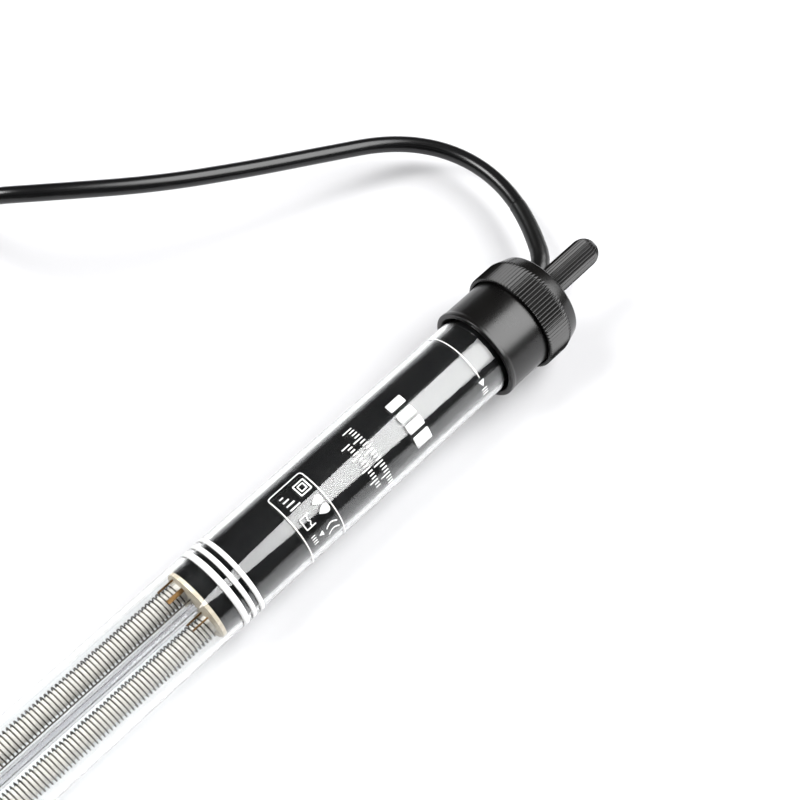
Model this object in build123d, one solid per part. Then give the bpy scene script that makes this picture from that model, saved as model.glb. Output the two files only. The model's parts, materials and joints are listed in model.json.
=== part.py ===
"""Submersible aquarium heater, lying on a flat surface with its mains lead.

The heater is drawn in its own frame: x runs from the closed end of the glass to the knob, on the
axis of the tube. It is then laid down, so that the glass and the cap nut both touch z = 0.
All sizes are in millimetres.
"""
from build123d import *
from math import atan, atan2, cos, degrees, pi, radians, sin, tan
import os

# ---- driving dimensions ----
glass_od = 30.0
glass_wall = 1.5
glass_length = 289.5        # closed end to open mouth
seat_start = glass_length - 23.2    # glass is ground for the collar from here to its mouth
seat_grind = 0.25           # on the radius
heater_middle = glass_length - 124.5    # closed end of the glass to the origin of the frame
sleeve_gap = 0.5            # air between glass and inner sleeve
sleeve_wall = 0.5
element_length = 138.7      # closed end of the glass to the lower end of the sleeve

collar_od = glass_od + 5.3
collar_reach = 21.8         # how far the collar comes down over the glass
collar_clear = 0.25         # collar bore to glass, on the radius
collar_pocket = 5.0         # depth of the compression ring below the glass mouth
lip_od = collar_od + 0.5
lip_length = 1.2
lip_mouth_od = glass_od + 1.9
lip_mouth_depth = 2.0

nut_od = collar_od + 3.94
nut_length = 15.7
nut_drop = 3.4              # how far the nut comes down past the glass mouth
nut_mouth_od = collar_od + 0.9
nut_mouth_depth = 3.4
nut_rim_od = nut_od - 3.74
nut_bevel = 6.6             # length of the bevelled band at the top of the nut
nut_clear = 0.05            # nut bore to collar, on the radius
nut_rib_count = 90
nut_rib_height = 0.5

gasket = 0.5
flange_length = 7.4
boss_od = collar_od - 7.3
boss_length = 3.1
boss_clear = 0.2
plug_clear = 0.3            # stopper plug to glass bore, on the radius
plug_length = 18.0
oring_section = 1.9

head_roll = 13.2            # turn of the knob and the thermostat about the tube axis
knob_offset = 5.9
knob_od = 10.5
knob_length = 28.1
knob_gap = 0.5
knob_rib_count = 28
knob_rib_height = 0.4
spindle_d = 4.0
spindle_reach = 19.0        # spindle inside the knob
spindle_below = 11.5        # spindle below the stopper
flat_depth = 0.6
run_clear = 0.05            # running fits, on the radius
clip_thickness = 0.6

screw_d = 3.0
screw_pitch = 0.7
tang = 1.7
screw_gap = 0.3             # screw tip to setting arm
frame_thickness = 2.0
frame_width = 21.0
frame_top = -1.5            # height of the frame's upper face, from the tube axis
arm_pivot_height = 0.5
arm_height = 9.0
arm_leg = 9.0
contact_d = 3.0
contact_height = 0.9
contact_gap = 0.8
bimetal_length = 56.0
bimetal_width = 6.0
bimetal_thickness = 0.5

element_roll = 22.7         # turn of the coils about the tube axis
disc_thickness = 1.3
coil_spacing = 13.8         # between the axes of the two coils
coil_od = 8.8
coil_wire = 0.6
former_d = 6.4
former_bore = 2.0
rod_d = 3.8
rod_bore = 1.6
tab_length = 6.3
tab_depth = 0.5
winding_gap = 1.5           # winding to upper disc
return_wire_d = 0.45
return_y, return_z = 2.7, 2.6   # return wire, from the tube axis in the turned element
lower_disc_x = 19.0
cushion_length = 9.0

cord_d = 6.2
cord_y, cord_z = 4.4, -6.9  # cord bore, from the tube axis
cord_clear = 0.05           # cord bore to cord, on the radius
gland_wall = 1.0
boot_length = 40.0
boot_base_d = 7.6
boot_tip_d = 6.8

cord_exit_run = 31.1        # straight run of the cord through the stopper and out of it
# Centre line of the cord from that run to the coil, laid by hand.
cord_route = [
    (165.1, 29.1, 12.6), (172.5, 52.8, 12.0),
    (169.6, 74.9, 12.0), (156.0, 92.6, 13.5), (130.7, 103.3, 18.5), (99.7, 113.8, 27.0),
    (68.2, 125.8, 36.0), (36.9, 144.6, 43.0), (9.6, 168.4, 43.0), (3.2, 190.0, 33.5),
    (5.6, 209.5, 17.5), (-4.5, 226.5, 5.5),
]
coil_centre = (-31.7, 196.7)
coil_turn_r = 34.2          # middle of the turns
coil_width = 18.8
coil_height = 12.0
tail_route = [
    (-66.7, 216.9, 8.6), (-77.5, 198.6, 7.0), (-90.0, 176.0, 3.15), (-105.0, 157.0, 3.6),
    (-120.0, 143.0, 7.0),
]
tie_angle = 300.0
tie_width = 7.0
tie_thickness = 0.8

plug_width = 35.3
plug_thickness = 13.8
plug_body_length = 22.0
plug_taper = 18.0
plug_grip = 8.0             # cord inside the plug's taper
pin_d = 4.0
pin_length = 19.0
pin_spacing = 18.6
pin_sleeve = 10.0
pin_core_d = 2.9
pin_root = 7.0

# ---- derived places along the tube ----
glass_r = glass_od / 2
bore_r = glass_r - glass_wall
sleeve_r = bore_r - sleeve_gap
sleeve_bore_r = sleeve_r - sleeve_wall
flange_x = glass_length + gasket
flange_top = flange_x + flange_length
boss_top = flange_top + boss_length
plug_x = flange_x - plug_length
lip_x = glass_length - collar_reach
pocket_x = glass_length - collar_pocket
pocket_r = glass_r + (collar_od - glass_od) / 2 - 0.75
nut_x = glass_length - nut_drop
nut_top = nut_x + nut_length
collar_top = flange_top - 0.4
knob_x = boss_top + knob_gap
knob_top = knob_x + knob_length
spindle_r = spindle_d / 2
spindle_x = plug_x - spindle_below
nut_r = nut_od / 2
seat_x = glass_r            # where the straight glass starts

# ---- laying down: the heater touches z = 0 at the glass and at the nut's lower edge ----
tilt = atan((nut_r - glass_r) / (nut_x - seat_x))
lift = glass_r * cos(tilt) - seat_x * sin(tilt)
lay = Pos(-heater_middle, 0, lift) * Rot(0, -degrees(tilt), 0)

shapes = {}


def rod(x0, x1, radius, y=0.0, z=0.0):
    """Round bar along x."""
    return Pos((x0 + x1) / 2, y, z) * Rot(0, 90, 0) * Cylinder(radius, x1 - x0)


def pipe(x0, x1, outer, inner, y=0.0, z=0.0):
    """Round tube along x."""
    return rod(x0, x1, outer, y, z) - rod(x0 - 1, x1 + 1, inner, y, z)


def ball(x, radius, y=0.0, z=0.0):
    """Ball with its poles along x."""
    return Pos(x, y, z) * Rot(0, 90, 0) * Sphere(radius)


def block(x0, x1, y0, y1, z0, z1):
    """Box between two corners."""
    middle = Pos((x0 + x1) / 2, (y0 + y1) / 2, (z0 + z1) / 2)
    return middle * Box(x1 - x0, y1 - y0, z1 - z0)


def turned(points):
    """Solid turned about the x axis from an outline of (x, radius) points."""
    outline = make_face(Polyline(*points, close=True))
    return revolve(Plane.XZ * outline, Axis.X, 360)


def ribbed(x0, x1, crest, height, count, first):
    """Bar along x with straight ribs; first is the angle of one crest in degrees."""
    points = []
    for i in range(count):
        for share, radius in ((-0.28, crest), (0.28, crest), (0.42, crest - height), (0.58, crest - height)):
            a = radians(first + (i + share) * 360 / count)
            points.append((radius * cos(a), radius * sin(a)))
    outline = make_face(Polyline(*points, close=True))
    return Pos(x0, 0, 0) * extrude(Plane.YZ * outline, x1 - x0)


def o_ring(x, inner, section, y=0.0, z=0.0):
    """O-ring round an x-wise shaft of radius inner."""
    return Pos(x, y, z) * Rot(0, 90, 0) * Torus(inner + section / 2, section / 2)


def keep(name, shape, roll=0.0, laid=True):
    """Files a finished piece, turned about the tube axis and laid down."""
    if laid:
        shape = lay * Rot(roll, 0, 0) * shape
    shapes[name] = shape


def path_of(points):
    """Straight runs joined by the largest arcs the runs allow."""
    radii = []
    for before, corner, after in zip(points, points[1:], points[2:]):
        a, b = Vector(*corner) - Vector(*before), Vector(*after) - Vector(*corner)
        half = radians(a.get_angle(b)) / 2
        radii.append(0.45 * min(a.length, b.length) / tan(half))
    print("arc radii, mm:", [round(r, 1) for r in radii])
    return FilletPolyline(*points, radius=radii)


def cord_tube(points, diameter):
    """Round cord along the rounded route."""
    path = path_of(points)
    wire = Wire(path.edges())
    tube = sweep(Plane(wire @ 0, z_dir=wire % 0) * Circle(diameter / 2), path=wire)
    expected = pi * diameter ** 2 / 4 * wire.length
    print("cord tube: length %.1f, volume ratio %.4f" % (wire.length, tube.volume / expected))
    return tube, wire


# ---- glass and head ----
def glass_tube():
    outer = rod(seat_x, glass_length, glass_r) + ball(seat_x, glass_r)
    inner = rod(seat_x, glass_length + 1, bore_r) + ball(seat_x, bore_r)
    ground = pipe(seat_start, glass_length + 1, glass_r + 1, glass_r - seat_grind)
    return outer - inner - ground


def collar():
    outer_r, lip_r, bore = collar_od / 2, lip_od / 2, glass_r + collar_clear
    outline = [
        (lip_x, lip_mouth_od / 2), (lip_x, lip_r - 0.4), (lip_x + 0.4, lip_r),
        (lip_x + lip_length, lip_r), (lip_x + lip_length + 0.8, outer_r), (collar_top, outer_r),
        (collar_top, pocket_r), (pocket_x, pocket_r), (pocket_x, bore),
        (lip_x + lip_mouth_depth, bore),
    ]
    return turned(outline)


def cap_nut():
    ribs = ribbed(nut_x, nut_top, nut_r, nut_rib_height, nut_rib_count, -90)
    envelope = turned([
        (nut_x, 0), (nut_x, nut_r - 0.25), (nut_x + 0.25, nut_r), (nut_top - nut_bevel, nut_r),
        (nut_top - 0.4, nut_rim_od / 2), (nut_top, nut_rim_od / 2 - 0.4), (nut_top, 0),
    ])
    bore = collar_od / 2 + nut_clear
    hollow = turned([
        (nut_x - 1, 0), (nut_x - 1, nut_mouth_od / 2), (nut_x + nut_mouth_depth, nut_mouth_od / 2),
        (nut_x + nut_mouth_depth + 0.7, bore), (flange_top, bore),
        (flange_top, boss_od / 2 + boss_clear), (nut_top + 1, boss_od / 2 + boss_clear), (nut_top + 1, 0),
    ])
    return (ribs & envelope) - hollow


def cord_hole():
    """Cord bore's place in the rolled head frame."""
    a = radians(head_roll)
    return cord_y * cos(a) + cord_z * sin(a), cord_z * cos(a) - cord_y * sin(a)


gland_r = cord_d / 2 + gland_wall
groove_r = bore_r - oring_section
groove_places = (plug_x + 5.0, plug_x + 11.0)
seal_x = flange_top - 2.5


def head_stopper():
    body = rod(plug_x, flange_x, bore_r - plug_clear) + rod(flange_x, flange_top, pocket_r - 0.05)
    body += rod(flange_top, boss_top, boss_od / 2)
    for x in groove_places:
        body -= pipe(x - 1.1, x + 1.1, bore_r, groove_r)
    body -= rod(plug_x - 1, boss_top + 1, spindle_r + run_clear, 0, knob_offset)
    body -= rod(seal_x - 1.0, seal_x + 1.0, spindle_r + run_clear + oring_section, 0, knob_offset)
    y, z = cord_hole()
    body -= rod(plug_x - 1, flange_x + 1, cord_d / 2 + cord_clear, y, z)
    return body - rod(flange_x, boss_top + 1, gland_r, y, z)


def stopper_orings():
    return Compound(children=[o_ring(x, groove_r, oring_section) for x in groove_places])


def make_head():
    keep("glass_tube", glass_tube())
    keep("collar", collar())
    keep("cap_nut", cap_nut())
    keep("head_stopper", head_stopper(), head_roll)
    keep("stopper_orings", stopper_orings())
    keep("compression_ring", pipe(pocket_x, flange_x, pocket_r, glass_r - seat_grind))
    keep("rim_gasket", pipe(glass_length, flange_x, glass_r - seat_grind, bore_r + 0.1))
    seal = o_ring(seal_x, spindle_r + run_clear, oring_section, 0, knob_offset)
    keep("spindle_seal", seal, head_roll)


# ---- knob, spindle and adjusting screw ----
socket = tang + 2 * run_clear
socket_depth = 9.0
tang_length = 6.5
screw_shoulder = spindle_x - 1.0
screw_length = 13.0
screw_tip = screw_shoulder - screw_length


def knob_cavity(clear=0.0):
    """D-shaped end of the spindle inside the knob."""
    bar = rod(knob_x, knob_x + spindle_reach, spindle_r + clear)
    flat = block(knob_x + 2, knob_x + spindle_reach + 1, spindle_r - flat_depth + clear, 9, -9, 9)
    return bar - flat


def adjusting_knob():
    r = knob_od / 2
    ribs = ribbed(knob_x, knob_top, r, knob_rib_height, knob_rib_count, 0)
    dome = ball(knob_top - r, r + 0.01)
    envelope = rod(knob_x - 1, knob_top - r, r + 0.5) + dome
    return (ribs & envelope) - knob_cavity()


def knob_spindle():
    bar = rod(spindle_x, knob_x, spindle_r) + knob_cavity()
    half = socket / 2
    bar -= block(spindle_x - 1, spindle_x + socket_depth, -half, half, -half, half)
    return bar - pipe(plug_x - 1.0, plug_x - 0.2, spindle_r + 1, spindle_r - 0.5)


def spindle_clip():
    ring = pipe(plug_x - 0.9, plug_x - 0.9 + clip_thickness, spindle_r + 1.8, spindle_r - 0.5)
    return ring - block(plug_x - 2, plug_x + 1, -1.0, 1.0, -9, -0.8)


def adjusting_screw():
    half = tang / 2
    thread = rod(screw_tip, screw_shoulder, screw_d / 2)
    return thread + block(screw_shoulder, screw_shoulder + tang_length, -half, half, -half, half)


def make_dial():
    up = Pos(0, 0, knob_offset)
    keep("adjusting_knob", up * adjusting_knob(), head_roll)
    keep("knob_spindle", up * knob_spindle(), head_roll)
    keep("spindle_clip", up * spindle_clip(), head_roll)
    keep("adjusting_screw", up * adjusting_screw(), head_roll)


# ---- thermostat ----
frame_bottom = frame_top - frame_thickness
frame_x = element_length + 9.0
wall_x0, wall_x1 = screw_shoulder - 6.5, screw_shoulder - 2.0
arm_x1 = screw_tip - screw_gap
arm_thickness = 1.0
arm_x0 = arm_x1 - arm_thickness
leg_top = frame_top + arm_height + 1.6
leg_x = arm_x0 - arm_leg
contact_x = leg_x + contact_d / 2 + 0.3
set_contact_low = leg_top - arm_thickness - contact_height
moving_contact_top = set_contact_low - contact_gap
bimetal_top = moving_contact_top - contact_height
bimetal_end = contact_x + contact_d / 2 + 0.5
bimetal_x = bimetal_end - bimetal_length
post_length = 7.0
pivot_d = 1.6
magnet_size = 5.0
lamp_r, lamp_length = 2.8, 12.0


def thermostat_frame():
    half = frame_width / 2
    plate = block(frame_x, plug_x, -half, half, frame_bottom, frame_top)
    wall = block(wall_x0, wall_x1, -5.5, 5.5, frame_top, knob_offset + 4.5)
    post = block(bimetal_x, bimetal_x + post_length, -4, 4, frame_top, bimetal_top - bimetal_thickness)
    ears = block(arm_x0 - 1.6, arm_x1 + 1.2, -5.2, -3.6, frame_top, arm_pivot_height + 2.0)
    ears += block(arm_x0 - 1.6, arm_x1 + 1.2, 3.6, 5.2, frame_top, arm_pivot_height + 2.0)
    middle = (arm_x0 + arm_x1) / 2
    pin_hole = Pos(middle, 0, arm_pivot_height) * Rot(90, 0, 0) * Cylinder(pivot_d / 2, 20)
    body = plate + wall + post + ears - pin_hole
    return body - rod(wall_x0 - 1, wall_x1 + 1, screw_d / 2 + 1.5, 0, knob_offset)


def setting_arm():
    upright = block(arm_x0, arm_x1, -3, 3, arm_pivot_height, leg_top)
    leg = block(leg_x, arm_x0, -3, 3, leg_top - arm_thickness, leg_top)
    middle = (arm_x0 + arm_x1) / 2
    turn = Pos(middle, 0, arm_pivot_height) * Rot(90, 0, 0)
    return upright + leg + turn * Cylinder(1.5, 6) - turn * Cylinder(pivot_d / 2 + run_clear, 9)


def arm_pin():
    middle = (arm_x0 + arm_x1) / 2
    return Pos(middle, 0, arm_pivot_height) * Rot(90, 0, 0) * Cylinder(pivot_d / 2, 10.4)


def button(low, x):
    return Pos(x, 0, low + contact_height / 2) * Cylinder(contact_d / 2, contact_height)


def bimetal_strip():
    half = bimetal_width / 2
    return block(bimetal_x + 0.3, bimetal_end, -half, half, bimetal_top - bimetal_thickness, bimetal_top)


def make_thermostat():
    keep("thermostat_frame", thermostat_frame(), head_roll)
    bush = pipe(wall_x0, wall_x1, screw_d / 2 + 1.5, screw_d / 2 + run_clear, 0, knob_offset)
    keep("screw_bush", bush, head_roll)
    keep("setting_arm", setting_arm(), head_roll)
    keep("arm_pin", arm_pin(), head_roll)
    keep("set_contact", button(set_contact_low, contact_x), head_roll)
    keep("bimetal_strip", bimetal_strip(), head_roll)
    keep("moving_contact", button(bimetal_top, contact_x), head_roll)
    magnet_x = contact_x - 12.0
    half = magnet_size / 2
    magnet = block(magnet_x - half, magnet_x + half, -half, half, frame_top, frame_top + 3.5)
    keep("snap_magnet", magnet, head_roll)
    lamp_x = frame_x + 45.0
    lamp = rod(lamp_x, lamp_x + lamp_length, lamp_r, 0, frame_bottom - lamp_r)
    lamp += ball(lamp_x, lamp_r, 0, frame_bottom - lamp_r)
    keep("indicator_lamp", lamp, head_roll)
    drop_x = lamp_x + lamp_length + 6.0
    keep("lamp_resistor", rod(drop_x, drop_x + 7.0, 1.3, -4.0, frame_bottom - 1.3), head_roll)
    cap_x = drop_x + 9.0
    keep("suppression_capacitor", block(cap_x, cap_x + 13, -6, 3.0, frame_bottom - 6, frame_bottom), head_roll)
    fuse_x = frame_x + 12.0
    keep("thermal_fuse", rod(fuse_x, fuse_x + 10.0, 2.0, 0, frame_bottom - 2.0), head_roll)
    make_cores()


core_d = 1.8
core_spread = 1.25


def make_cores():
    y, z = cord_hole()
    start = plug_x - 22.0
    cores = [rod(start, cord_start_x, core_d / 2, y + side * core_spread, z) for side in (-1, 1)]
    keep("cord_cores", Compound(children=cores), head_roll)
    ends = [pipe(start - 6, start + 4, core_d / 2 + 0.3, core_d / 2, y + side * core_spread, z)
            for side in (-1, 1)]
    keep("core_terminals", Compound(children=ends), head_roll)


# ---- heating element ----
disc_x = element_length - disc_thickness
former_x0, former_x1 = lower_disc_x + disc_thickness, disc_x
coil_r = coil_od / 2
coil_x0, coil_x1 = former_x0 + 3.0, disc_x - winding_gap
sides = (-1, 1)


def end_disc(x, radius):
    disc = rod(x, x + disc_thickness, radius) - rod(x - 1, x + 2, rod_d / 2)
    for side in sides:
        disc -= rod(x - 1, x + 2, former_bore / 2, side * coil_spacing / 2)
    return disc


def make_element():
    keep("inner_sleeve", pipe(element_length, plug_x - 0.5, sleeve_r, sleeve_bore_r))
    keep("upper_end_disc", end_disc(disc_x, sleeve_r), element_roll)
    keep("lower_end_disc", end_disc(lower_disc_x, bore_r - 0.3), element_roll)
    centre = pipe(lower_disc_x, disc_x + disc_thickness + 1.0, rod_d / 2, rod_bore / 2)
    keep("centre_rod", centre, element_roll)
    for name, side in zip(("left", "right"), sides[::-1]):
        y = side * coil_spacing / 2
        former = pipe(former_x0, former_x1, former_d / 2, former_bore / 2, y)
        keep("coil_former_" + name, former, element_roll)
        winding = pipe(coil_x0, coil_x1, coil_r, former_d / 2, y)
        keep("heating_coil_" + name, winding, element_roll)
    tabs = []
    for side, places in zip(sides, (((24, 0.5), (67, 0.5)), ((32, 0.5), (94, 1.5)))):
        for angle, width in places:
            tab = block(disc_x - tab_length, disc_x, -width / 2, width / 2, coil_r + 0.1, coil_r + 0.1 + tab_depth)
            tabs.append(Pos(0, side * coil_spacing / 2, 0) * Rot(angle - 90, 0, 0) * tab)
    keep("lead_tabs", Compound(children=tabs), element_roll)
    keep("return_wire", rod(former_x0, disc_x, return_wire_d / 2, return_y, return_z), element_roll)
    reach = coil_spacing / 2 + 0.6
    bridge = block(former_x0, former_x0 + 0.6, -reach, reach, former_d / 2 + 0.2, former_d / 2 + 1.0)
    for side in sides:
        y = side * coil_spacing / 2
        bridge += block(former_x0, coil_x0, y - 0.6, y + 0.6, former_d / 2 + 0.2, former_d / 2 + 1.0)
    keep("coil_bridge", bridge, element_roll)
    cushion_x = lower_disc_x - cushion_length
    cushion_r = bore_r - 0.1
    dome = ball(seat_x, cushion_r) & block(cushion_x, seat_x, -bore_r, bore_r, -bore_r, bore_r)
    keep("end_cushion", rod(seat_x, lower_disc_x, cushion_r) + dome)


# ---- cord, gland, coil, tie ----
cord_start_x = glass_length - 7.5


def cord_gland(tube, wire):
    """Sleeve in the stopper with a tapered boot that bends with the cord."""
    y, z = cord_hole()
    sleeve = lay * Rot(head_roll, 0, 0) * rod(flange_x, boss_top, gland_r, y, z)
    first = boss_top - cord_start_x
    run = wire.trim((first - 0.5) / wire.length, (first + boot_length) / wire.length)
    base = Plane(run @ 0, z_dir=run % 0) * Circle(boot_base_d / 2)
    tip = Plane(run @ 1, z_dir=run % 1) * Circle(boot_tip_d / 2)
    return sleeve + sweep([base, tip], path=run, multisection=True) - tube


def coil_profile(grow=0.0):
    inner, outer = coil_turn_r - coil_width / 2 - grow, coil_turn_r + coil_width / 2 + grow
    top = coil_height + grow
    return [(inner, 0), (outer, 0), (outer, top - 4.0), (outer - 3.0, top), (inner + 3.0, top),
            (inner, top - 4.0)]


def ring_of(points, start=0.0, sweep_angle=360.0):
    face = Plane.XZ * make_face(Polyline(*points, close=True))
    turned_ring = revolve(face, Axis.Z, sweep_angle)
    return Pos(coil_centre[0], coil_centre[1], 0) * Rot(0, 0, start) * turned_ring


def make_cord():
    bore = [lay * Pos(x, cord_y, cord_z) for x in (cord_start_x, cord_start_x + cord_exit_run)]
    tube, wire = cord_tube([tuple(end.position) for end in bore] + cord_route, cord_d)
    keep("cord_lead", tube, laid=False)
    keep("cord_gland", cord_gland(tube, wire), laid=False)
    tail, _ = cord_tube(tail_route, cord_d)
    keep("cord_tail", tail, laid=False)
    span = degrees(tie_width / coil_turn_r)
    start = tie_angle - span / 2
    inner, outer = coil_turn_r - coil_width / 2 - 5, coil_turn_r + coil_width / 2 + 5
    under = ring_of([(inner, -1), (outer, -1), (outer, tie_thickness), (inner, tie_thickness)], start, span)
    coil = ring_of(coil_profile()) - under - tube - tail
    keep("cord_coil", coil, laid=False)
    tie = ring_of(coil_profile(tie_thickness), start, span) - ring_of(coil_profile()) + \
        (ring_of(coil_profile(), start, span) & under)
    keep("cord_tie", tie, laid=False)


# ---- plug ----
def place_plug(shape):
    """Puts the plug, drawn with its pins along +x, over the end of the tail."""
    before, end = tail_route[-2:]
    heading = atan2(end[1] - before[1], end[0] - before[0])
    x, y = end[0] - plug_grip * cos(heading), end[1] - plug_grip * sin(heading)
    return Pos(x, y, plug_thickness / 2) * Rot(0, 0, degrees(heading)) * shape


def make_plug():
    half_w, half_t = plug_width / 2, plug_thickness / 2
    cut = half_t * 0.55
    outline = [
        (-half_w, 0), (-half_w + cut, -half_t), (half_w - cut, -half_t), (half_w, 0),
        (half_w - cut, half_t), (-half_w + cut, half_t),
    ]
    section = make_face(Polyline(*outline, close=True))
    front = plug_taper + plug_body_length
    body = Pos(plug_taper, 0, 0) * extrude(Plane.YZ * section, plug_body_length)
    taper = loft([Plane(origin=(0, 0, 0), z_dir=(1, 0, 0), x_dir=(0, 1, 0)) * Circle(cord_d / 2 + 1.2),
                  Plane(origin=(plug_taper, 0, 0), z_dir=(1, 0, 0), x_dir=(0, 1, 0)) *
                  Rectangle(plug_width * 0.62, plug_thickness * 0.92)])
    body += taper
    pins, sleeves = [], []
    for side in sides:
        y, tip = side * pin_spacing / 2, front + pin_length
        pin = rod(front - pin_root, front + pin_sleeve, pin_core_d / 2, y)
        pin += rod(front + pin_sleeve, tip - pin_d / 2, pin_d / 2, y)
        pin += ball(tip - pin_d / 2, pin_d / 2, y)
        pins.append(pin)
        sleeves.append(pipe(front, front + pin_sleeve, pin_d / 2, pin_core_d / 2, y))
        body -= rod(front - pin_root, front + 1, pin_core_d / 2, y)
    keep("plug_body", place_plug(body) - shapes["cord_tail"], laid=False)
    keep("plug_pins", place_plug(Compound(children=pins)), laid=False)
    keep("pin_sleeves", place_plug(Compound(children=sleeves)), laid=False)


make_head()
make_dial()
make_thermostat()
make_element()
make_cord()
make_plug()

os.makedirs("parts", exist_ok=True)
for name, shape in shapes.items():
    export_step(shape, "parts/" + name + ".step")
print(len(shapes), "nodes")
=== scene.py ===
import json
from math import atan, cos, pi, radians, sin

import bmesh
import bpy
import numpy as np
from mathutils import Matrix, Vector


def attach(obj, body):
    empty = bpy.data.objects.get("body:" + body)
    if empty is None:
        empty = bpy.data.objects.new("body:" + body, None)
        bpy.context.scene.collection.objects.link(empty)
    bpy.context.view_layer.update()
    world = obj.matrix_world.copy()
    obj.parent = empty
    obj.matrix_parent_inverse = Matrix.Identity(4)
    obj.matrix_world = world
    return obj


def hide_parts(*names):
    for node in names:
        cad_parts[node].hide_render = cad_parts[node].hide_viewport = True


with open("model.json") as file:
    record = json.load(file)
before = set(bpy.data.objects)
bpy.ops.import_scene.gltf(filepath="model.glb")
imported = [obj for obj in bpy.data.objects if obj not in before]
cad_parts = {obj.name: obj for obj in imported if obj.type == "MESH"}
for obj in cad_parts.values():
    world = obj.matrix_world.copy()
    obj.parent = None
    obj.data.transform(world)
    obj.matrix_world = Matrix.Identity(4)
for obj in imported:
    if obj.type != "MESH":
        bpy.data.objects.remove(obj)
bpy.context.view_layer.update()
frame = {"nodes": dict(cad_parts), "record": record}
print("frame loaded:", len(frame["nodes"]), "nodes")

mm = 0.001
mergeDistance = 2e-7    # metres; grid points this close together become one

# the heater is drawn along its own x axis, closed end first, then laid down on glass and nut
heater = {
    "glassRadius": 15.0,
    "nutRadius": 19.62,
    "nutEdge": 286.1,
    "middle": 165.0,
    "headRoll": 13.2,       # degrees that the head is turned round the tube
    "elementRoll": 22.7,
}
glassR, nutR = heater["glassRadius"], heater["nutRadius"]
tilt = atan((nutR - glassR) / (heater["nutEdge"] - glassR))
lift = glassR * (cos(tilt) - sin(tilt))
origin = np.array([-heater["middle"], 0.0, lift])
alongTube = np.array([cos(tilt), 0.0, sin(tilt)])
acrossTube = np.array([0.0, 1.0, 0.0])
outOfTube = np.array([-sin(tilt), 0.0, cos(tilt)])


def place(x, y, z):
    # heater coordinates in mm to frame coordinates in metres
    x, y, z = (v[..., None] for v in np.broadcast_arrays(x, y, z))
    return (origin + x * alongTube + y * acrossTube + z * outOfTube) * mm


# camera
view = {
    "position": (-117.1, -176.9, 448.7),
    "aim": (80.15, 14.1, 0.0),
    "lens": 66.35,
    "sensor": 36.0,
}
cameraData = bpy.data.cameras.new("camera")
cameraData.lens = view["lens"]
cameraData.sensor_width = view["sensor"]
cameraData.clip_start = 0.01
camera = bpy.data.objects.new("camera", cameraData)
bpy.context.scene.collection.objects.link(camera)
camera.location = Vector(view["position"]) * mm
lineOfSight = Vector(view["aim"]) - Vector(view["position"])
camera.rotation_euler = lineOfSight.to_track_quat("-Z", "Y").to_euler()
bpy.context.scene.camera = camera

# the cord's line
cord = {
    "diameter": 6.2,
    "length": 1.62,
    "exit": (135.57, 4.4, 12.97),
    "centre": (-31.7, 196.7),
    "startAngle": 25.0,
    "turns": 5 + (150.0 - 25.0) / 360,
    "pointsPerTurn": 16,
    "joinRadius": 43.9,                     # where the lead runs into the coil
    "leaveRadius": 43.7,                    # where the coil runs out into the tail
    "lowerLanes": (40.55, 34.25, 27.95),    # radii of the turns on the floor, first to last
    "upperLanes": (31.1, 37.4),             # radii of the turns that lie on them
    "lowerHeight": 3.15,
    "upperHeight": 8.6,
    "tieAngle": 300.0,
    "tieLift": 0.85,
    "tieSpread": 17,                        # degrees to each side of the tie
}
leadPoints = [
    (117.1, 4.4, 12.66), (148.2, 4.4, 13.19), (165.1, 29.1, 12.6), (172.5, 52.8, 12.0),
    (169.6, 74.9, 12.0), (156.0, 92.6, 13.5), (130.7, 103.3, 18.5), (99.7, 113.8, 27.0),
    (68.2, 125.8, 36.0), (36.9, 144.6, 43.0), (20.5, 158.9, 43.0), (10.7, 177.3, 31.4),
    (16.5, 195.9, 13.1), (10.6, 214.4, 3.9),
]
tailPoints = [
    (-69.3, 218.4, 8.8), (-77.5, 198.6, 7.0), (-90.0, 176.0, 3.15), (-105.0, 157.0, 3.6),
    (-120.0, 143.0, 7.0),
]


def coilPoints():
    # radius and height step from lane to lane, turn by turn; the angle runs on evenly
    steps = int(round(cord["turns"] * cord["pointsPerTurn"]))
    turn = np.linspace(0, cord["turns"], steps + 1)[1:-1]
    angle = np.radians(cord["startAngle"] + 360 * turn)
    join, leave, low, high = (cord[k] for k in ("joinRadius", "leaveRadius", "lowerHeight", "upperHeight"))
    lanes = np.repeat(cord["lowerLanes"] + cord["upperLanes"], 2)
    radius = np.interp(turn, [0, 0.3, 0.85, 1.15, 1.85, 2.15, 2.95, 3.15, 3.82, 4.1, 4.85, 5.15],
                       [join, *lanes, leave])
    height = np.interp(turn, [0, 2.8, 2.96, 3.05, 3.15, 4.85, 5.0, 5.15],
                       [low, low, 9.0, 9.35, high, high, 9.3, 8.8])
    # the curve cuts its corners, so the radius is let out by as much
    radius = radius / (0.5 + 0.5 * cos(pi / cord["pointsPerTurn"]) ** 2)
    apart = (np.degrees(angle) - cord["tieAngle"] + 180) % 360 - 180
    height = height + cord["tieLift"] * np.exp(-(apart / cord["tieSpread"]) ** 2)
    x, y = cord["centre"]
    return np.stack([x + radius * np.cos(angle), y + radius * np.sin(angle), height], 1).tolist()


def cordCurve(name, points, thickness):
    data = bpy.data.curves.new(name, "CURVE")
    data.dimensions = "3D"
    spline = data.splines.new("NURBS")
    spline.points.add(len(points) - 1)
    for spot, point in zip(spline.points, points):
        spot.co = (*(v * mm for v in point), 1.0)
    spline.order_u = 3
    spline.use_endpoint_u = True
    spline.resolution_u = 8
    data.bevel_depth = thickness / 2 * mm
    data.bevel_resolution = 7
    data.use_fill_caps = True
    piece = bpy.data.objects.new(name, data)
    bpy.context.scene.collection.objects.link(piece)
    return piece


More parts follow.
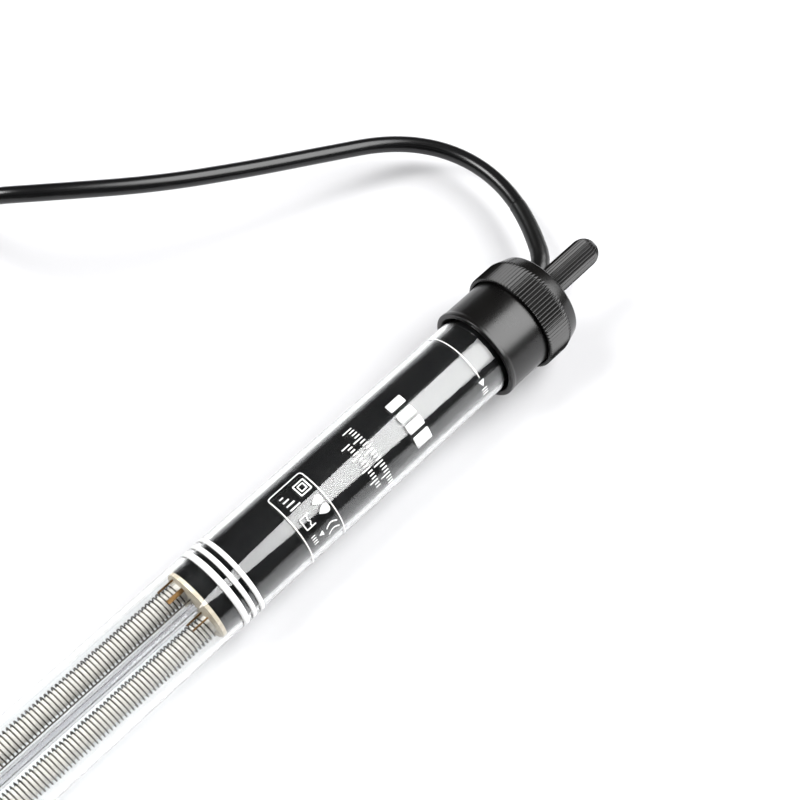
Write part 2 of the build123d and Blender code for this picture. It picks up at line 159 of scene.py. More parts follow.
allPoints = leadPoints + coilPoints() + tailPoints
mainsCord = cordCurve("mains_cord", allPoints, cord["diameter"])
bareCord = cordCurve("bare_line", allPoints, 0)
bareMesh = bpy.data.meshes.new_from_object(bareCord)
cordLine = np.empty(len(bareMesh.vertices) * 3)
bareMesh.vertices.foreach_get("co", cordLine)
cordLine = cordLine.reshape(-1, 3) / mm
bpy.data.objects.remove(bareCord)
print("cord line: %d points" % len(cordLine))


# surfaces
def gridFaces(rows, columns, closeRows, closeColumns):
    # one four-sided face between each point, the next in its row and the two beside them
    i = np.arange(rows if closeRows else rows - 1)
    j = np.arange(columns if closeColumns else columns - 1)
    i, j = np.meshgrid(i, j, indexing="ij")
    nextI, nextJ = (i + 1) % rows, (j + 1) % columns
    corners = [i * columns + j, i * columns + nextJ, nextI * columns + nextJ, nextI * columns + j]
    return np.stack(corners, -1).reshape(-1, 4)


def makePiece(name, grids, slot, look=None, body="heater", stands=(), crease=38, closed=True):
    # each grid is (points, rows closed, columns closed); poles are merged and faces turned outward
    spots, faces, count = [], [], 0
    for points, closeRows, closeColumns in grids:
        rows, columns = points.shape[:2]
        spots.append(points.reshape(-1, 3))
        faces.append(gridFaces(rows, columns, closeRows, closeColumns) + count)
        count += rows * columns
    mesh = bpy.data.meshes.new(name)
    mesh.from_pydata(np.concatenate(spots).tolist(), [], np.concatenate(faces).tolist())
    work = bmesh.new()
    work.from_mesh(mesh)
    bmesh.ops.remove_doubles(work, verts=work.verts, dist=mergeDistance)
    if closed:
        bmesh.ops.recalc_face_normals(work, faces=work.faces)
    work.to_mesh(mesh)
    work.free()
    mesh.polygons.foreach_set("use_smooth", np.ones(len(mesh.polygons), dtype=bool))
    mesh.set_sharp_from_angle(angle=radians(crease))
    mesh.materials.append(look or looks[slot])
    piece = bpy.data.objects.new(name, mesh)
    bpy.context.scene.collection.objects.link(piece)
    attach(piece, body)
    if stands:
        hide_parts(*stands)
    return piece


def softened(outline, radius, closed=True, steps=4):
    # every corner becomes a short quadratic arc between points on its two edges
    spots = np.array(outline, dtype=float)
    before, after = np.roll(spots, 1, 0) - spots, np.roll(spots, -1, 0) - spots
    lengthBefore = np.linalg.norm(before, axis=1, keepdims=True)
    lengthAfter = np.linalg.norm(after, axis=1, keepdims=True)
    cut = np.minimum(radius, 0.45 * np.minimum(lengthBefore, lengthAfter))
    first = (spots + before / lengthBefore * cut)[:, None]
    last = (spots + after / lengthAfter * cut)[:, None]
    t = np.linspace(0, 1, steps)[None, :, None]
    arcs = (1 - t) ** 2 * first + 2 * t * (1 - t) * spots[:, None] + t ** 2 * last
    if closed:
        return arcs.reshape(-1, 2)
    return np.concatenate([spots[:1], arcs[1:-1].reshape(-1, 2), spots[-1:]])


def lathe(outline, columns=144, y=0.0, z=0.0, wave=None, roll=0.0):
    # the outline's (x, radius) points carried round the tube's axis; wave may change the radius
    angle = np.linspace(0, 2 * pi, columns, endpoint=False)[None, :] + radians(roll)
    x, radius = outline[:, 0][:, None], outline[:, 1][:, None] + 0 * angle
    if wave is not None:
        radius = wave(x, radius, angle)
    return place(x, y + radius * np.cos(angle), z + radius * np.sin(angle))


def tube(path, radius, columns, reference):
    # a circle carried along the path; its first and last rows are drawn in to a point
    forward = np.gradient(path, axis=0)
    forward /= np.linalg.norm(forward, axis=1, keepdims=True)
    side = np.cross(forward, reference)
    side /= np.linalg.norm(side, axis=1, keepdims=True)
    over = np.cross(side, forward)
    angle = np.linspace(0, 2 * pi, columns, endpoint=False)[None, :, None]
    ring = np.cos(angle) * side[:, None] + np.sin(angle) * over[:, None]
    size = np.broadcast_to(radius, (len(path),))[:, None, None]
    body = path[:, None] + size * ring
    ends = [np.repeat(path[k][None, None], columns, 1) for k in (0, -1)]
    return np.concatenate([ends[0], body, ends[1]])


def rolled(y, z, roll):
    # a point turned round the tube's axis by roll degrees
    a = radians(roll)
    return y * cos(a) - z * sin(a), y * sin(a) + z * cos(a)


# materials
class Value:
    # one output socket that takes part in sums and products
    def __init__(self, look, socket):
        self.look, self.socket = look, socket

    def math(self, operation, first, second):
        return self.look.node("ShaderNodeMath", {"operation": operation}, {0: first, 1: second})

    def __add__(self, other):
        return self.math("ADD", self, other)

    def __mul__(self, other):
        return self.math("MULTIPLY", self, other)

    def __pow__(self, other):
        return self.math("POWER", self, other)

    __radd__ = __add__
    __rmul__ = __mul__


class Look:
    def __init__(self, name):
        self.material = bpy.data.materials.new(name)
        self.material.use_nodes = True
        self.tree = self.material.node_tree
        self.tree.nodes.clear()
        self.out = self.tree.nodes.new("ShaderNodeOutputMaterial")
        self.place = self.node("ShaderNodeTexCoord", output="Object")

    def feed(self, value, slot):
        if isinstance(value, Value):
            self.tree.links.new(value.socket, slot)
        else:
            slot.default_value = value

    def node(self, kind, settings=None, inputs=None, output=0):
        made = self.tree.nodes.new(kind)
        for key, value in (settings or {}).items():
            setattr(made, key, value)
        for key, value in (inputs or {}).items():
            self.feed(value, made.inputs[key])
        return Value(self, made.outputs[output])

    def noise(self, scale, detail=3.0, stretch=None):
        at = self.place
        if stretch:
            at = self.node("ShaderNodeMapping", inputs={"Vector": at, "Scale": stretch})
        return self.node("ShaderNodeTexNoise", inputs={"Vector": at, "Scale": scale, "Detail": detail})

    def mix(self, share, first, second):
        made = self.tree.nodes.new("ShaderNodeMix")
        made.data_type = "RGBA"
        for key, kind, value in (("Factor", "VALUE", share), ("A", "RGBA", first), ("B", "RGBA", second)):
            self.feed(value, [s for s in made.inputs if s.name == key and s.type == kind][0])
        return Value(self, [s for s in made.outputs if s.type == "RGBA"][0])

    def bump(self, height, strength, distance):
        return self.node("ShaderNodeBump", inputs={"Height": height, "Strength": strength,
                                                   "Distance": distance})

    def surface(self, **inputs):
        names = {key.replace("_", " "): value for key, value in inputs.items()}
        return self.node("ShaderNodeBsdfPrincipled", inputs=names)

    def finish(self, shader):
        self.tree.links.new(shader.socket, self.out.inputs["Surface"])
        return self.material


def rgb(r, g, b):
    return (r, g, b, 1.0)


def mouldedPlastic(name, dark, light, roughness, grain, depth, refraction=1.5):
    # satin mouldings: fine spark-eroded grain, broad changes of gloss
    look = Look(name)
    fine, broad = look.noise(grain, 4.0), look.noise(90.0, 2.0)
    colour = look.mix(broad, dark, light)
    gloss = roughness - 0.05 + 0.10 * broad + 0.06 * fine
    return look.finish(look.surface(Base_Color=colour, Roughness=gloss, IOR=refraction,
                                    Normal=look.bump(fine, 0.45, depth)))


def metalFinish(name, dark, light, roughness, stretch=(1.0, 1.0, 1.0)):
    # drawn or plated metal: fine grain, stretched where it is brushed, over slow patches
    look = Look(name)
    grain = look.noise(900.0, 4.0, stretch)
    patch = look.noise(160.0, 2.0)
    colour = look.mix(patch, dark, light)
    return look.finish(look.surface(Base_Color=colour, Metallic=1.0, Roughness=roughness + 0.15 * grain,
                                    Normal=look.bump(grain, 0.2, 0.00002)))


def mineralFinish(name, dark, light, roughness, scale, depth):
    # pressed or cast stuff: two sizes of speck, the smaller one raised
    look = Look(name)
    grain, speck = look.noise(scale, 5.0), look.noise(scale * 3.1, 2.0)
    colour = look.mix(grain, dark, light)
    return look.finish(look.surface(Base_Color=colour, Roughness=roughness + 0.1 * speck,
                                    Normal=look.bump(speck, 0.4, depth)))


def clearGlass(name, tint):
    # clear to light on its way in, so that the works inside are lit
    look = Look(name)
    smear = look.noise(55.0, 3.0)
    solid = look.surface(Base_Color=tint, Roughness=0.012 * smear ** 2.0, IOR=1.47, Transmission_Weight=1.0)
    unbent = look.node("ShaderNodeBsdfTransparent", inputs={"Color": rgb(0.97, 0.98, 0.98)})
    shade = look.node("ShaderNodeLightPath", output="Is Shadow Ray")
    return look.finish(look.node("ShaderNodeMixShader", inputs={0: shade, 1: solid, 2: unbent}))


def cordJacket(name):
    # extruded jacket: faint lines along the cord's own length
    look = Look(name)
    own = look.node("ShaderNodeTexCoord", output="UV")
    along = look.node("ShaderNodeMapping", inputs={"Vector": own, "Scale": (6.0, 60.0, 1.0)})
    line = look.node("ShaderNodeTexNoise", inputs={"Vector": along, "Scale": 2.0, "Detail": 3.0})
    fine = look.noise(2500.0, 3.0)
    broad = look.noise(70.0, 2.0)
    colour = look.mix(broad, rgb(0.0028, 0.0028, 0.0031), rgb(0.0048, 0.0048, 0.0052))
    height = 0.5 * line + 0.5 * fine
    return look.finish(look.surface(Base_Color=colour, Roughness=0.20 + 0.12 * line,
                                    Normal=look.bump(height, 0.25, 0.00004)))


def printInk(name):
    # screen print: opaque, slightly thin in places
    look = Look(name)
    thin = look.noise(1300.0, 4.0)
    colour = look.mix(thin, rgb(0.80, 0.80, 0.79), rgb(0.93, 0.93, 0.92))
    return look.finish(look.surface(Base_Color=colour, Roughness=0.35 + 0.2 * thin))


headDark, headLight = rgb(0.0028, 0.0027, 0.0026), rgb(0.0052, 0.0048, 0.0045)
looks = {
    "clear_glass": clearGlass("clear glass", rgb(0.985, 0.995, 0.992)),
    "amber_lens": mineralFinish("lamp lens", rgb(0.85, 0.25, 0.05), rgb(0.95, 0.42, 0.1),
                                0.15, 200.0, 0.00001),
    "head_plastic": mouldedPlastic("head plastic", headDark, headLight, 0.26, 2600.0, 0.00003),
    "knob_plastic": mouldedPlastic("knob plastic", rgb(0.0032, 0.0031, 0.0030), rgb(0.0058, 0.0054, 0.0050),
                                   0.20, 2600.0, 0.00003, 1.42),
    "black_rubber": mouldedPlastic("black rubber", rgb(0.003, 0.003, 0.003), rgb(0.005, 0.005, 0.005),
                                   0.27, 1800.0, 0.00004),
    "cord_jacket": cordJacket("cord jacket"),
    "tie_plastic": mouldedPlastic("tie plastic", rgb(0.014, 0.014, 0.014), rgb(0.028, 0.028, 0.028),
                                  0.5, 1500.0, 0.00006),
    "plug_plastic": mouldedPlastic("plug plastic", rgb(0.012, 0.012, 0.013), rgb(0.022, 0.022, 0.022),
                                   0.45, 2200.0, 0.00004),
    "nickel_pins": metalFinish("nickel plate", rgb(0.62, 0.60, 0.56), rgb(0.78, 0.76, 0.72), 0.14),
    "sleeve_black": mouldedPlastic("sleeve coat", rgb(0.003, 0.003, 0.0035), rgb(0.006, 0.006, 0.006),
                                   0.13, 1500.0, 0.000002),
    "mica": mineralFinish("pressed mica", rgb(0.16, 0.12, 0.075), rgb(0.62, 0.56, 0.46),
                          0.5, 520.0, 0.00015),
    "ceramic_former": mineralFinish("ceramic former", rgb(0.52, 0.50, 0.47), rgb(0.70, 0.68, 0.64),
                                    0.6, 1500.0, 0.00004),
    "resistance_wire": metalFinish("resistance wire", rgb(0.055, 0.050, 0.045), rgb(0.17, 0.155, 0.135),
                                   0.22),
    "brass_parts": metalFinish("brass", rgb(0.10, 0.052, 0.02), rgb(0.26, 0.15, 0.06), 0.32),
    "silicone_pad": mineralFinish("silicone pad", rgb(0.78, 0.77, 0.74), rgb(0.88, 0.87, 0.85),
                                  0.5, 500.0, 0.00008),
    "core_insulation": mouldedPlastic("core insulation", rgb(0.22, 0.09, 0.04), rgb(0.34, 0.15, 0.07),
                                      0.4, 1500.0, 0.00002),
    "capacitor_case": mouldedPlastic("capacitor case", rgb(0.55, 0.40, 0.06), rgb(0.72, 0.55, 0.10),
                                     0.25, 700.0, 0.00002),
    "steel_parts": metalFinish("steel", rgb(0.45, 0.45, 0.46), rgb(0.62, 0.62, 0.63),
                               0.25, (1.0, 8.0, 8.0)),
    "frame_plastic": mouldedPlastic("frame plastic", rgb(0.42, 0.37, 0.29), rgb(0.54, 0.49, 0.40),
                                    0.5, 1200.0, 0.00004),
    "contact_silver": metalFinish("contact silver", rgb(0.72, 0.72, 0.72), rgb(0.84, 0.84, 0.84), 0.2),
}
ink = printInk("white ink")
for entry in frame["record"]["subparts"]:
    node = frame["nodes"][entry["node"]]
    for spot in node.material_slots:
        spot.material = looks[entry["material_slot"]]
print("materials:", len(looks) + 1)

# cord pieces
mainsCord.data.materials.append(looks["cord_jacket"])
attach(mainsCord, "heater")
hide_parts("cord_lead", "cord_coil", "cord_tail")

travel = np.concatenate([[0], np.cumsum(np.linalg.norm(np.diff(cordLine, axis=0), axis=1))])


def cordAt(distance):
    # the cord line's points at these distances from its inner end
    return np.stack([np.interp(distance, travel, cordLine[:, k]) for k in range(3)], 1)


boot = {
    "from": 8.5, "to": 66.0, "rows": 90,
    "distance": (8.5, 18.0, 19.5, 26.0, 40.0, 56.0, 65.6, 66.0),
    "diameter": (8.2, 8.2, 7.7, 7.2, 6.95, 6.65, 6.5, 6.3),
}


def makeBoot():
    # circles along the cord's own line, their diameter read from the boot's profile
    steps = np.linspace(boot["from"], boot["to"] - 0.5, boot["rows"])
    steps = np.concatenate([steps, [boot["to"] - 0.2, boot["to"]]])
    radius = np.interp(steps, boot["distance"], boot["diameter"]) / 2
    points = tube(cordAt(steps) * mm, radius * mm, 40, np.array([0, 0, 1.0]))
    return makePiece("cord_boot", [(points, False, True)], "black_rubber", stands=("cord_gland",))


cordBoot = makeBoot()

tie = {"width": 7.0, "thickness": 0.75, "edge": 0.25, "gap": 0.05, "columns": 96}


def strapOutline(grow):
    # hull of the five cord rounds: the support point of the farthest round in each direction
    low, high = (cord[k] + cord["tieLift"] for k in ("lowerHeight", "upperHeight"))
    rounds = [(r, low) for r in sorted(cord["lowerLanes"])] + [(r, high) for r in cord["upperLanes"]]
    rounds = np.array(rounds)
    angle = np.linspace(0, 2 * pi, tie["columns"], endpoint=False)
    out = np.stack([np.cos(angle), np.sin(angle)], 1)
    farthest = np.argmax(out @ rounds.T, axis=1)
    return rounds[farthest] + (cord["diameter"] / 2 + tie["gap"] + grow) * out


def makeStrap():
    # the band's rim carried round the hull, then stood up across the coil at the tie's angle
    half, thickness = tie["width"] / 2, tie["thickness"]
    rim = softened([(0, -half), (thickness, -half), (thickness, half), (0, half)], tie["edge"])
    inner, outer = strapOutline(0.0), strapOutline(1.0)
    section = inner[:, None] + (outer - inner)[:, None] * rim[None, :, :1]
    a = radians(cord["tieAngle"])
    x = cord["centre"][0] + section[..., 0] * cos(a) - rim[None, :, 1] * sin(a)
    y = cord["centre"][1] + section[..., 0] * sin(a) + rim[None, :, 1] * cos(a)
    points = np.stack([x, y, np.maximum(section[..., 1], 0.02)], -1) * mm
    return makePiece("cord_strap", [(points, True, True)], "tie_plastic", stands=("cord_tie",))


strap = makeStrap()

# plug
plug = {
    "thickness": 13.8, "length": 40.0, "grip": 8.0,
    "width": ((0, 6, 18, 26, 40), (8.4, 10.0, 26.0, 33.6, 35.0)),     # distance from the cord, width
    "height": ((0, 6, 18, 26, 40), (8.2, 9.4, 12.6, 13.4, 13.6)),
    "power": ((0, 8, 20, 40), (2.0, 2.2, 3.2, 3.6)),                  # 2 is round, more is squarer
}
heading = np.array(tailPoints[-1][:2]) - np.array(tailPoints[-2][:2])
heading = heading / np.linalg.norm(heading)
plugStart = np.array(tailPoints[-1][:2]) - plug["grip"] * heading


def placePlug(x, y, z):
    # plug coordinates, pins along +x, to the frame
    x, y, z = np.broadcast_arrays(x, y, z)
    return np.stack([plugStart[0] + x * heading[0] - y * heading[1],
                     plugStart[1] + x * heading[1] + y * heading[0],
                     plug["thickness"] / 2 + z], -1) * mm


def makePlug():
    # superellipse sections that widen from the cord to the face
    front = plug["length"]
    x = np.array([0, 0, 1.5, 3, 4.5, 6, 8, 11, 14, 17, 20, 24, 28, 32, 36, 38.6, 39.6, front, front])
    width, height = (np.interp(x, *plug[k]) / 2 for k in ("width", "height"))
    edge = np.array([0.0, 0.92] + [1.0] * 15 + [0.95, 0.0])     # both ends are drawn in and closed
    power = np.interp(x, *plug["power"])[:, None]
    angle = np.linspace(0, 2 * pi, 96, endpoint=False)[None]
    c, s = np.cos(angle), np.sin(angle)
    size = (np.abs(c) ** power + np.abs(s) ** power) ** (-1 / power)
    points = placePlug(x[:, None], (width * edge)[:, None] * size * c, (height * edge)[:, None] * size * s)
    return makePiece("plug_shell", [(points, False, True)], "plug_plastic", stands=("plug_body",))


plugShell = makePlug()
print("cord, strap, boot and plug made")

# glass, sleeve and head
glass = {
    "wall": 1.5,
    "length": 289.5,
    "plainTo": 250.0,
    "seat": 266.3,          # ground a little thinner from here to the mouth
    "grind": 0.25,
    "lip": 0.5,
}


def makeGlass():
    # quarter circle, straight wall with its ground end, and the bore's quarter circle back
    boreR, groundR = glassR - glass["wall"], glassR - glass["grind"]
    dome = np.linspace(0, pi / 2, 28)
    outerDome = np.stack([glassR - glassR * np.cos(dome), glassR * np.sin(dome)], 1)
    innerDome = np.stack([glassR - boreR * np.cos(dome), boreR * np.sin(dome)], 1)[::-1]
    mouth = softened([(glass["plainTo"], glassR), (glass["seat"], glassR),
                      (glass["seat"] + glass["grind"], groundR), (glass["length"], groundR),
                      (glass["length"], boreR), (glass["plainTo"], boreR)],
                     glass["lip"], closed=False, steps=5)
    outline = np.concatenate([outerDome, mouth, innerDome])
    makePiece("glass_envelope", [(lathe(outline, 180), False, True)], "clear_glass", stands=("glass_tube",))


makeGlass()

sleeve = {"start": 138.7, "end": 271.0, "outer": 13.0, "inner": 12.5, "edge": 0.12}


def tubeWall(piece):
    # the wall's section, a rectangle in x and radius with soft corners
    return softened([(piece["start"], piece["inner"]), (piece["start"], piece["outer"]),
                     (piece["end"], piece["outer"]), (piece["end"], piece["inner"])], piece["edge"])


makePiece("black_sleeve", [(lathe(tubeWall(sleeve), 160), True, True)], "sleeve_black",
          stands=("inner_sleeve",))

collar = {
    "lip": 267.7, "lipRadius": 17.9, "lipWidth": 1.3, "lipFoot": 2.1, "mouthRadius": 15.95,
    "mouthDepth": 2.0, "skirtRadius": 17.65, "top": 297.0, "bore": 15.25, "pocket": 284.5,
    "pocketRadius": 16.9, "edge": 0.45,
}
collarOutline = softened([
    (collar["lip"], collar["mouthRadius"]), (collar["lip"], collar["lipRadius"]),
    (collar["lip"] + collar["lipWidth"], collar["lipRadius"]),
    (collar["lip"] + collar["lipFoot"], collar["skirtRadius"]),
    (collar["top"], collar["skirtRadius"]), (collar["top"], collar["pocketRadius"]),
    (collar["pocket"], collar["pocketRadius"]), (collar["pocket"], collar["bore"]),
    (collar["lip"] + collar["mouthDepth"], collar["bore"]),
], collar["edge"], steps=6)
makePiece("collar_skirt", [(lathe(collarOutline, 160), True, True)], "head_plastic", stands=("collar",))

nut = {
    "start": heater["nutEdge"], "end": 301.8, "radius": nutR, "rim": 17.75, "bevel": 6.6, "ribs": 90,
    "depth": 0.62, "sharpness": 0.65, "mouth": 18.1, "bore": 17.7, "boss": 14.2, "shelf": 297.4,
}


def nutRibs(x, radius, angle):
    # rounded ribs where the outline stands farther out than the valleys
    turnShare = 0.5 - 0.5 * np.cos(nut["ribs"] * (angle + pi / 2))
    valley = nut["radius"] - nut["depth"] * turnShare ** nut["sharpness"]
    return np.where(radius > nut["radius"] - nut["depth"] - 0.02, np.minimum(radius, valley), radius)


nutPlastic = mouldedPlastic("nut plastic", headDark, headLight, 0.18, 2600.0, 0.00003, 1.42)


def makeNut():
    # a rounded edge, the ribbed land, the bevel down to the rim, and back along the bore
    bevelStart = nut["end"] - nut["bevel"]
    run = np.linspace(bevelStart, bevelStart + 2.4, 12)
    slope = nut["radius"] - (run - bevelStart) * (nut["radius"] - nut["rim"]) / (nut["bevel"] - 0.4)
    outside = np.concatenate([
        [(nut["start"], nut["radius"] - 0.55), (nut["start"] + 0.08, nut["radius"] - 0.3),
         (nut["start"] + 0.3, nut["radius"] - 0.08), (nut["start"] + 0.6, nut["radius"])],
        np.stack([run, slope], 1),
        softened([(run[-1] + 0.3, slope[-1] - 0.09), (nut["end"] - 0.5, nut["rim"] + 0.02),
                  (nut["end"], nut["rim"] - 0.5), (nut["end"], nut["boss"])], 0.35, closed=False, steps=5),
    ])
    inside = np.array([
        (nut["shelf"], nut["boss"]), (nut["shelf"], nut["bore"]), (nut["start"] + 4.1, nut["bore"]),
        (nut["start"] + 3.4, nut["mouth"]), (nut["start"] + 0.2, nut["mouth"]),
        (nut["start"], nut["mouth"] + 0.2),
    ])
    outline = np.concatenate([outside, inside])
    makePiece("ribbed_nut", [(lathe(outline, nut["ribs"] * 10, wave=nutRibs), True, True)],
              "head_plastic", nutPlastic, stands=("cap_nut",), crease=60)


makeNut()

knob = {
    "start": 301.0, "end": 329.1, "radius": 5.36, "ribs": 28, "depth": 0.52, "sharpness": 0.65,
    "offset": 5.9,
}


def knobRibs(x, radius, angle):
    # rib depth dies away on the dome
    fade = np.clip((radius / knob["radius"] - 0.25) / 0.55, 0, 1)
    fade = fade * fade * (3 - 2 * fade)
    turnShare = 0.5 - 0.5 * np.cos(knob["ribs"] * (angle - radians(heater["headRoll"])))
    return radius - knob["depth"] * fade * turnShare ** knob["sharpness"]


def makeKnob():
    # a straight barrel with a soft lower edge, then a quarter circle to its tip
    r, centre = knob["radius"], knob["end"] - knob["radius"]
    cap = np.linspace(0, pi / 2, 26)
    domed = np.stack([centre + r * np.sin(cap), r * np.cos(cap)], 1)
    base = np.array([(knob["start"], 0.0), (knob["start"], r - 0.5), (knob["start"] + 0.12, r - 0.2),
                     (knob["start"] + 0.4, r), (knob["start"] + 8, r), (knob["start"] + 16, r)])
    y, z = rolled(0.0, knob["offset"], heater["headRoll"])
    outline = np.concatenate([base, domed])
    outline[-1, 1] = 0.0
    makePiece("ribbed_knob", [(lathe(outline, knob["ribs"] * 12, y, z, knobRibs), False, True)],
              "knob_plastic", body="dial", stands=("adjusting_knob",), crease=60)


makeKnob()
print("glass, sleeve, collar, nut and knob made")

# heating element
element = {
    "spacing": 13.8, "coilRadius": 4.1, "wire": 0.55, "pitch": 1.45, "start": 23.4, "end": 135.8,
    "wander": (0.05, 0.04),     # how far the turns stray from round, as two slow waves
}
rod = {"start": 19.0, "end": 139.7, "outer": 1.9, "inner": 0.8, "edge": 0.2}


def helix(side):
    # a round wire carried along a helix whose radius strays a little from turn to turn
    turns = (element["end"] - element["start"]) / element["pitch"]
    t = np.linspace(0, turns, int(turns * 20))
    angle = 2 * pi * t
    y0, z0 = rolled(side * element["spacing"] / 2, 0.0, heater["elementRoll"])
    x = element["start"] + element["pitch"] * t
    quick, slow = element["wander"]
    wander = quick * np.sin(t * 1.7) + slow * np.sin(t * 0.61 + side)
    radius = element["coilRadius"] + wander
    path = place(x, y0 + radius * np.cos(angle), z0 + radius * np.sin(angle))
    return tube(path, element["wire"] / 2 * mm, 7, alongTube)


for side, name in ((1, "left"), (-1, "right")):
    makePiece("wire_" + name, [(helix(side), False, True)], "resistance_wire",
              stands=("heating_coil_" + name,), crease=70)

makePiece("clear_rod", [(lathe(tubeWall(rod), 64), True, True)], "clear_glass",
          clearGlass("smoky glass", rgb(0.90, 0.89, 0.91)), stands=("centre_rod",))
print("heating element made")

# print on the glass
marks = {
    "radius": glassR + 0.015,
    "thickness": 0.03,
    "facing": 113.0,        # direction round the tube that the middle of the print faces, degrees from +y
    "line": 0.46,
    "rings": ((144.6, 146.85), (148.4, 150.1), (151.7, 153.4)),
}


def wrap(flat):
    # flat print, x along the tube and s round it in mm, laid on the glass
    angle = np.radians(marks["facing"]) + flat[..., 1] / glassR
    r = marks["radius"]
    return place(flat[..., 0], r * np.cos(angle), r * np.sin(angle))


def stroke(path, width=None, closed=False):
    # a line of even width; the side offset is square to the path
    path = np.array(path, dtype=float)
    width = width or marks["line"]
    if closed:
        ahead, behind = np.roll(path, -1, 0), np.roll(path, 1, 0)
        forward = (ahead - path) / np.linalg.norm(ahead - path, axis=1, keepdims=True)
        forward += (path - behind) / np.linalg.norm(path - behind, axis=1, keepdims=True)
    else:
        forward = np.gradient(path, axis=0)
    forward /= np.linalg.norm(forward, axis=1, keepdims=True)
    side = np.stack([-forward[:, 1], forward[:, 0]], 1)
    rows = [path + side * width * k for k in (-0.5, 0.0, 0.5)]
    return wrap(np.stack(rows, 1)), closed, False


def filled(outline):
    # a full shape: its outline drawn in to the middle
    outline = np.array(outline, dtype=float)
    middle = outline.mean(0)
    share = np.array([0.0, 0.5, 1.0])[:, None, None]
    return wrap(middle + share * (outline - middle)[None]), False, True


def roundedBox(x0, x1, s0, s1, radius, steps=6):
    # four corners in order, softened
    return softened([(x0, s0), (x1, s0), (x1, s1), (x0, s1)], radius, steps=steps)


def dense(path, step=0.6):
    # extra points, so that long lines follow the round glass
    path = np.array(path, dtype=float)
    lengths = np.concatenate([[0], np.cumsum(np.linalg.norm(np.diff(path, axis=0), axis=1))])
    at = np.linspace(0, lengths[-1], max(3, int(lengths[-1] / step) + 1))
    return np.stack([np.interp(at, lengths, path[:, k]) for k in range(2)], 1)


def drop(x, s, length, width):
    # a water drop with its point towards the head
    t = np.linspace(0, 2 * pi, 40, endpoint=False)
    return np.stack([x - length * 0.5 * np.cos(t), s + width * 0.62 * np.sin(t) * np.sin(t / 2) ** 1.2], 1)


def ringMark(x0, x1):
    # a closed line once round the glass, as wide as the band
    middle, around = (x0 + x1) / 2, np.linspace(-pi * glassR, pi * glassR, 180, endpoint=False)
    return stroke(np.stack([np.full(180, middle), around], 1), x1 - x0, closed=True)


def levelMark():
    # a line across the tube, an arrow at its end and three short dashes
    line = stroke(dense([(257.55, -23.5), (257.55, 6.9)]), 0.42)
    arrow = filled([(258.9, 8.0), (256.2, 8.0), (257.55, 10.6)])
    dashes = [stroke(dense([(256.3, s), (258.8, s)]), 0.45) for s in (11.6, 12.7, 13.8)]
    return [line, arrow] + dashes


def gaugeMark():
    # four bold blocks across the tube
    return [filled(roundedBox(225.1, 231.9, s0, s1, 0.5)) for s0, s1 in
            ((-7.6, -4.2), (-2.6, 0.9), (1.9, 5.6), (6.9, 11.6))]


def scaleMarks():
    # two graduated rows of fine bars; every fourth bar is the long one
    grids = []
    for x0, x1, s0, s1, count in ((208.2, 212.2, -10.2, 15.4, 21), (203.7, 207.3, -6.0, 11.6, 15)):
        for k, s in enumerate(np.linspace(s0, s1, count)):
            reach = 1.0 if k % 4 == 0 else 0.55
            grids.append(stroke(dense([(x1 - reach * (x1 - x0), s), (x1, s)]), 0.5))
    return grids


symbols = {
    "frame": (174.9, 189.3, -10.8, 21.0), "corner": 1.3,
    "squareAt": (185.8, -5.9), "squareSizes": (4.3, 2.2),
    "dropsAt": (186.1, (0.6, 4.3)), "dropSize": (4.4, 3.6),
    "bowsAt": (185.6, (9.3, 11.9)), "bowReach": 2.3, "bowDepth": 1.1,
    "barsAt": (177.4, (-7.6, -5.9, -4.2, -2.5)), "barLength": 1.6, "barStep": 0.9,
    "tank": (177.6, 181.4, 1.6, 5.8),
    "dashesAt": (177.2, (8.9, 9.9, 10.9, 11.9)), "dashLength": 1.7,
}


def symbolBox():
    # an open frame round squares, drops, bows, a stair of bars, a tank, an arrow and dashes
    x0, x1, s0, s1 = symbols["frame"]
    edge = softened([(x0, s1), (x0, s0), (x1, s0), (x1, s1)], symbols["corner"], closed=False, steps=7)
    grids = [stroke(dense(edge))]
    x, s = symbols["squareAt"]
    for half in np.array(symbols["squareSizes"]) / 2:
        grids.append(stroke(roundedBox(x - half, x + half, s - half, s + half, 0.15, 3), 0.5, closed=True))
    x, places = symbols["dropsAt"]
    grids += [filled(drop(x, s, *symbols["dropSize"])) for s in places]
    x, places = symbols["bowsAt"]
    bow = np.linspace(-1, 1, 17)
    for s in places:
        bend = s + symbols["bowDepth"] * (bow ** 2) ** 0.9
        grids.append(stroke(np.stack([x + symbols["bowReach"] * bow, bend], 1), 0.5))
    x, places = symbols["barsAt"]
    for k, s in enumerate(places):
        grids.append(stroke(dense([(x, s), (x + symbols["barLength"] + symbols["barStep"] * k, s)]), 0.55))
    x0, x1, s0, s1 = symbols["tank"]
    grids.append(stroke(dense([(x1, s0), (x0, s0), (x0, s1), (x1, s1)], 0.3), 0.45))
    wave = np.linspace(0, 1, 25)
    grids.append(stroke(np.stack([180.0 + 0.3 * np.sin(wave * 4 * pi), 1.9 + 3.6 * wave], 1), 0.4))
    grids.append(filled([(181.8, 9.4), (181.8, 11.4), (179.9, 10.4)]))
    x, places = symbols["dashesAt"]
    grids += [stroke(dense([(x, s), (x + symbols["dashLength"], s)]), 0.4) for s in places]
    return grids


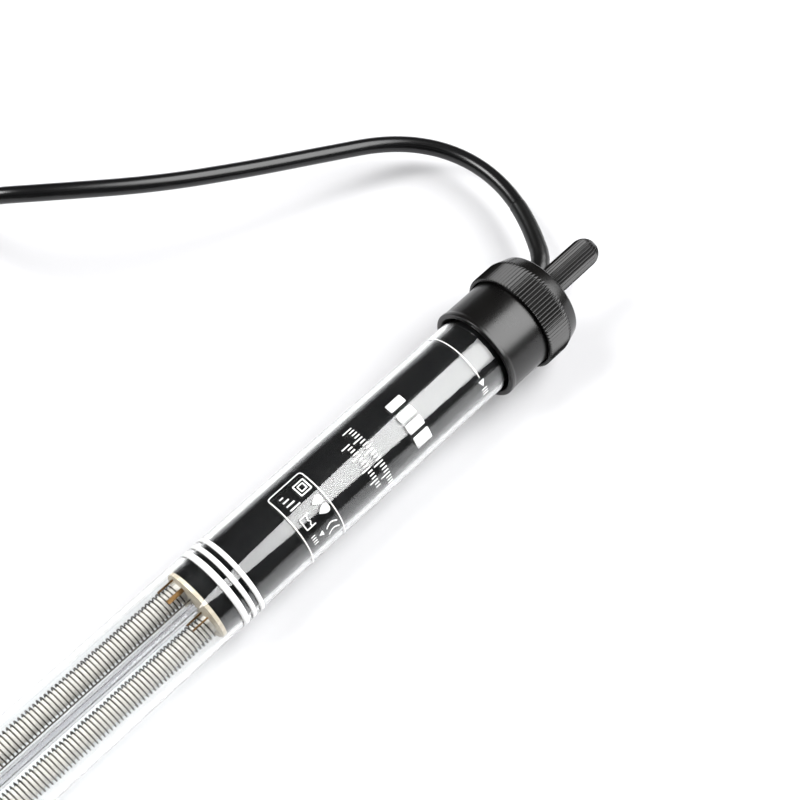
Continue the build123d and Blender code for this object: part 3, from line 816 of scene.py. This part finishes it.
def makePrint():
    # both prints are thin films, centred on the glass's surface
    rings = [ringMark(*band) for band in marks["rings"]]
    blocks = levelMark() + gaugeMark() + scaleMarks() + symbolBox()
    for name, grids in (("printed_rings", rings), ("printed_marks", blocks)):
        piece = makePiece(name, grids, "head_plastic", ink, closed=False)
        solid = piece.modifiers.new("film", "SOLIDIFY")
        solid.thickness, solid.offset = marks["thickness"] * mm, 0.0


makePrint()
print("print made")

# floor and light
studio = {
    "floor": rgb(0.655, 0.655, 0.667),
    "floorRoughness": 0.6,
    "floorReach": 8.0,
    "world": 0.035,
    "key": {"at": (3.21, -1.5, 2.6), "facing": (0.0, 0.5, -0.866), "size": (5.6, 4.6), "power": 469.0},
    "fill": {"at": (-0.60, 0.85, 1.35), "facing": (0.65, -0.85, -1.35), "size": (0.8, 0.8), "power": 24.0},
}


def makeFloor():
    mesh = bpy.data.meshes.new("floor")
    r = studio["floorReach"]
    mesh.from_pydata([(-r, -r, 0), (r, -r, 0), (r, r, 0), (-r, r, 0)], [], [(0, 1, 2, 3)])
    look = Look("floor")
    paper = look.surface(Base_Color=studio["floor"], Roughness=studio["floorRoughness"])
    mesh.materials.append(look.finish(paper))
    floor = bpy.data.objects.new("floor", mesh)
    bpy.context.scene.collection.objects.link(floor)


def makeLight(name, light):
    data = bpy.data.lights.new(name, "AREA")
    data.shape, data.energy = "ELLIPSE", light["power"]
    data.size, data.size_y = light["size"]
    lamp = bpy.data.objects.new(name, data)
    bpy.context.scene.collection.objects.link(lamp)
    lamp.location = light["at"]
    lamp.rotation_euler = Vector(light["facing"]).to_track_quat("-Z", "Y").to_euler()


makeFloor()
makeLight("key", studio["key"])
makeLight("fill", studio["fill"])
world = bpy.data.worlds.new("world")
bpy.context.scene.world = world
world.use_nodes = True
backdrop = world.node_tree.nodes["Background"].inputs
backdrop["Color"].default_value = rgb(1.0, 1.0, 1.0)
backdrop["Strength"].default_value = studio["world"]
bpy.context.scene.view_settings.view_transform = "Standard"
print("floor and light made")
